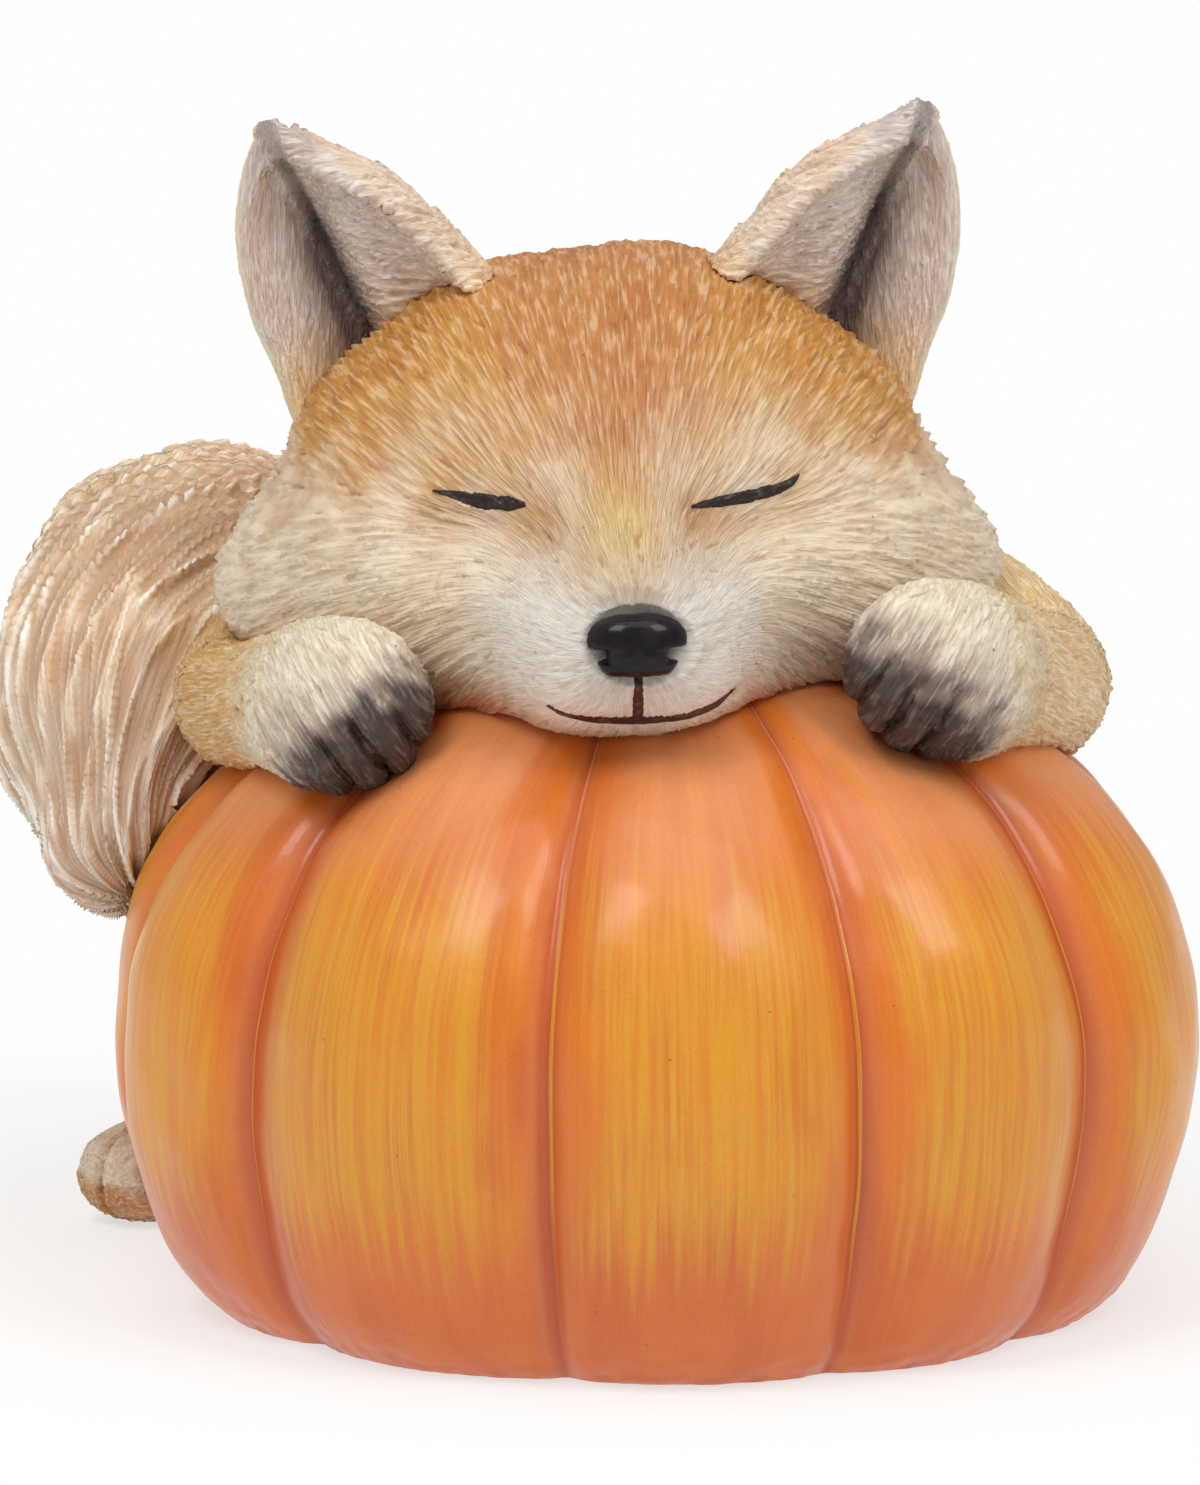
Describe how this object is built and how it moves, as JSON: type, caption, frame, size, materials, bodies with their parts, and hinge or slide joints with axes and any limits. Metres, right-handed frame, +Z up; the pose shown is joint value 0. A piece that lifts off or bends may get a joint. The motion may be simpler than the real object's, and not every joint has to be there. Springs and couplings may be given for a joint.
{
  "type": "animal figurine",
  "caption": "Hand-painted resin figurine of a fox asleep with its chin and forelegs over a ribbed pumpkin, closed by a felted base.",
  "frame": {"origin": "centre of the felt's resting face, on the pumpkin's upright axis", "axes": "+Z up, the fox looks along -Y, +X is the viewer's right"},
  "size_m": [0.1232, 0.1309, 0.1191],
  "materials": {
    "pumpkin_paint": "satin painted resin, yellow dry-brushed ribs and red-brown grooves",
    "base_resin": "bare cast resin",
    "base_felt": "dark felt",
    "head_paint": "painted resin, tan crown, white muzzle and cream cheeks",
    "ear_paint": "painted resin, tan backs and grey inside",
    "nose_gloss": "gloss black paint",
    "line_paint": "dark brown paint",
    "body_paint": "painted resin, tan to orange fur",
    "leg_paint": "painted resin, cream with dark brown toes",
    "tail_paint": "painted resin, peach root to a white tip"
  },
  "bodies": {
    "root": {"pumpkin_shell": "pumpkin_paint", "base_plate": "base_resin", "base_felt": "base_felt", "head": "head_paint", "left_ear": "ear_paint", "right_ear": "ear_paint", "nose": "nose_gloss", "eye_lines": "line_paint", "mouth_line": "line_paint", "torso": "body_paint", "left_foreleg": "leg_paint", "right_foreleg": "leg_paint", "left_hind_leg": "leg_paint", "right_hind_leg": "leg_paint", "tail": "tail_paint"}
  },
  "joints": []
}
